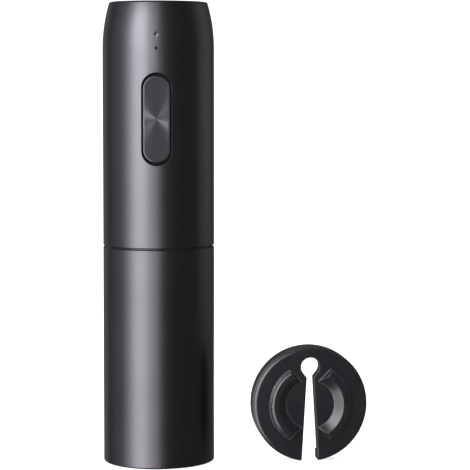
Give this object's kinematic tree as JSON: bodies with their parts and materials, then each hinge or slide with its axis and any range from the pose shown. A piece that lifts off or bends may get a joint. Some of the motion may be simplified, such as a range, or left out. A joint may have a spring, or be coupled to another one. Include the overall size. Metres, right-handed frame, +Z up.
{
  "type": "electric wine opener",
  "caption": "Slim battery wine opener: metal sleeve over the bottle neck, powered worm, rocker button and charging port in the upper housing, with a round squeeze foil cutter.",
  "frame": {"origin": "on the opener's own axis, at the level of its mouth, which is the surface that it and its foil cutter stand on", "axes": "+Z up along the opener's axis, from its mouth to its cap; -Y out of the button's face; +X towards the foil cutter"},
  "size_m": [0.1191, 0.05, 0.2067],
  "materials": {
    "anodised_dark": "satin anodised",
    "button_metal": "spun finish, polished bevel",
    "black_plastic": "fine moulded texture",
    "black_rubber": "soft matt",
    "polished_steel": "polished hardened steel",
    "sintered_steel": "sintered, oiled",
    "zinc_steel": "zinc plated",
    "magnet": "ferrite",
    "bronze": "sintered bronze and brass",
    "copper_wire": "enamelled copper wire",
    "pale_plastic": "moulded nylon",
    "cell_wrap": "shrink-wrapped steel can",
    "lead_jacket": "PVC insulation",
    "board_green": "glass-epoxy laminate",
    "chip_black": "epoxy moulded parts",
    "clear_light_guide": "clear acrylic"
  },
  "bodies": {
    "sleeve": {"sleeve_shell": "anodised_dark", "bottle_guide": "black_plastic", "mouth_ring": "black_plastic", "seat_pad": "black_rubber"},
    "follower": {"cork_follower": "black_plastic"},
    "upper": {"upper_housing": "anodised_dark", "top_cap": "black_plastic", "spigot": "black_plastic", "spigot_o_ring": "black_rubber", "front_frame": "black_plastic", "rear_frame": "black_plastic", "frame_screws": "polished_steel", "motor_can": "zinc_steel", "motor_magnets": "magnet", "motor_end_cap": "pale_plastic", "motor_brushes": "bronze", "motor_leads": "lead_jacket", "ring_gear": "zinc_steel", "gearbox_end_plate": "zinc_steel", "gearbox_screws": "polished_steel", "thrust_washer": "polished_steel", "bronze_bushes": "bronze", "battery_cells": "cell_wrap", "battery_contacts": "bronze", "circuit_board": "board_green", "board_parts": "chip_black", "switch_bodies": "pale_plastic", "usb_shell": "polished_steel", "usb_tongue": "pale_plastic", "light_pipe": "clear_light_guide", "button_pivot": "polished_steel", "button_seal": "black_rubber"},
    "rotor": {"motor_shaft": "polished_steel", "rotor_core": "sintered_steel", "rotor_windings": "copper_wire", "commutator": "bronze", "sun_gear": "sintered_steel"},
    "first_carrier": {"carrier_1": "sintered_steel", "carrier_1_pins": "polished_steel"},
    "spindle": {"carrier_2": "sintered_steel", "carrier_2_pins": "polished_steel", "worm": "polished_steel", "worm_pin": "polished_steel", "circlip": "polished_steel"},
    "button": {"button_cap": "button_metal", "button_carrier": "black_plastic"},
    "top_plunger": {"switch_plunger_top": "pale_plastic"},
    "bottom_plunger": {"switch_plunger_bottom": "pale_plastic"},
    "cutter_left_half": {"cutter_left": "black_plastic"},
    "cutter_right_half": {"cutter_right": "black_plastic"},
    "planet_1a_body": {"planet_1a": "sintered_steel"},
    "planet_1b_body": {"planet_1b": "sintered_steel"},
    "planet_1c_body": {"planet_1c": "sintered_steel"},
    "planet_2a_body": {"planet_2a": "sintered_steel"},
    "planet_2b_body": {"planet_2b": "sintered_steel"},
    "planet_2c_body": {"planet_2c": "sintered_steel"},
    "wheel_1_body": {"cutting_wheel_1": "polished_steel"},
    "wheel_2_body": {"cutting_wheel_2": "polished_steel"},
    "wheel_3_body": {"cutting_wheel_3": "polished_steel"},
    "wheel_4_body": {"cutting_wheel_4": "polished_steel"}
  },
  "joints": [
    {"name": "halves_slide", "type": "slide", "parent": "sleeve", "child": "upper", "axis": [0, 0, 1], "range_m": [0, 0.09]},
    {"name": "follower_slide", "type": "slide", "parent": "sleeve", "child": "follower", "axis": [0, 0, 1], "range_m": [0, 0.0355]},
    {"name": "motor_spin", "type": "hinge", "parent": "upper", "child": "rotor", "pos_m": [0, 0, 0.12], "axis": [0, 0, 1], "continuous": true},
    {"name": "first_carrier_spin", "type": "hinge", "parent": "upper", "child": "first_carrier", "pos_m": [0, 0, 0.1028], "axis": [0, 0, 1], "continuous": true},
    {"name": "spindle_spin", "type": "hinge", "parent": "upper", "child": "spindle", "pos_m": [0, 0, 0.09], "axis": [0, 0, 1], "continuous": true},
    {"name": "button_rock", "type": "hinge", "parent": "upper", "child": "button", "pos_m": [0, -0.0206, 0.1547], "axis": [1, 0, 0], "range_deg": [-3, 3], "stiffness_Nm_per_rad": 0.05},
    {"name": "top_switch_travel", "type": "slide", "parent": "upper", "child": "top_plunger", "axis": [0, 1, 0], "range_m": [-0.0003, 0.0003]},
    {"name": "bottom_switch_travel", "type": "slide", "parent": "upper", "child": "bottom_plunger", "axis": [0, 1, 0], "range_m": [-0.0003, 0.0003]},
    {"name": "cutter_lift", "type": "slide", "parent": "sleeve", "child": "cutter_left_half", "axis": [0, 0, 1], "range_m": [0, 0.1]},
    {"name": "cutter_squeeze", "type": "hinge", "parent": "cutter_left_half", "child": "cutter_right_half", "pos_m": [0.06766, -0.00004, 0.0468], "axis": [-0.1132, 0.9936, 0], "range_deg": [0, 8], "stiffness_Nm_per_rad": 0.4},
    {"name": "planet_1a_spin", "type": "hinge", "parent": "first_carrier", "child": "planet_1a_body", "pos_m": [0.0072, 0, 0.106], "axis": [0, 0, 1], "continuous": true},
    {"name": "planet_1b_spin", "type": "hinge", "parent": "first_carrier", "child": "planet_1b_body", "pos_m": [-0.0036, 0.00624, 0.106], "axis": [0, 0, 1], "continuous": true},
    {"name": "planet_1c_spin", "type": "hinge", "parent": "first_carrier", "child": "planet_1c_body", "pos_m": [-0.0036, -0.00624, 0.106], "axis": [0, 0, 1], "continuous": true},
    {"name": "planet_2a_spin", "type": "hinge", "parent": "spindle", "child": "planet_2a_body", "pos_m": [0.0072, 0, 0.0989], "axis": [0, 0, 1], "continuous": true},
    {"name": "planet_2b_spin", "type": "hinge", "parent": "spindle", "child": "planet_2b_body", "pos_m": [-0.0036, 0.00624, 0.0989], "axis": [0, 0, 1], "continuous": true},
    {"name": "planet_2c_spin", "type": "hinge", "parent": "spindle", "child": "planet_2c_body", "pos_m": [-0.0036, -0.00624, 0.0989], "axis": [0, 0, 1], "continuous": true},
    {"name": "wheel_1_spin", "type": "hinge", "parent": "cutter_left_half", "child": "wheel_1_body", "pos_m": [0.05337, 0.00014, 0.03688], "axis": [-0.1132, 0.9936, 0], "continuous": true},
    {"name": "wheel_2_spin", "type": "hinge", "parent": "cutter_left_half", "child": "wheel_2_body", "pos_m": [0.05337, 0.00014, 0.01472], "axis": [-0.1132, 0.9936, 0], "continuous": true},
    {"name": "wheel_3_spin", "type": "hinge", "parent": "cutter_right_half", "child": "wheel_3_body", "pos_m": [0.08155, 0.00335, 0.03688], "axis": [-0.1132, 0.9936, 0], "continuous": true},
    {"name": "wheel_4_spin", "type": "hinge", "parent": "cutter_right_half", "child": "wheel_4_body", "pos_m": [0.08155, 0.00335, 0.01472], "axis": [-0.1132, 0.9936, 0], "continuous": true}
  ],
  "couplings": [
    {"joint": "first_carrier_spin", "follows": "motor_spin", "ratio": 0.16667},
    {"joint": "spindle_spin", "follows": "motor_spin", "ratio": 0.027778},
    {"joint": "top_switch_travel", "follows": "button_rock", "m_per_rad": -0.0055},
    {"joint": "bottom_switch_travel", "follows": "button_rock", "m_per_rad": 0.0055},
    {"joint": "planet_1a_spin", "follows": "motor_spin", "ratio": -0.41667},
    {"joint": "planet_1b_spin", "follows": "motor_spin", "ratio": -0.41667},
    {"joint": "planet_1c_spin", "follows": "motor_spin", "ratio": -0.41667},
    {"joint": "planet_2a_spin", "follows": "motor_spin", "ratio": -0.069444},
    {"joint": "planet_2b_spin", "follows": "motor_spin", "ratio": -0.069444},
    {"joint": "planet_2c_spin", "follows": "motor_spin", "ratio": -0.069444}
  ]
}
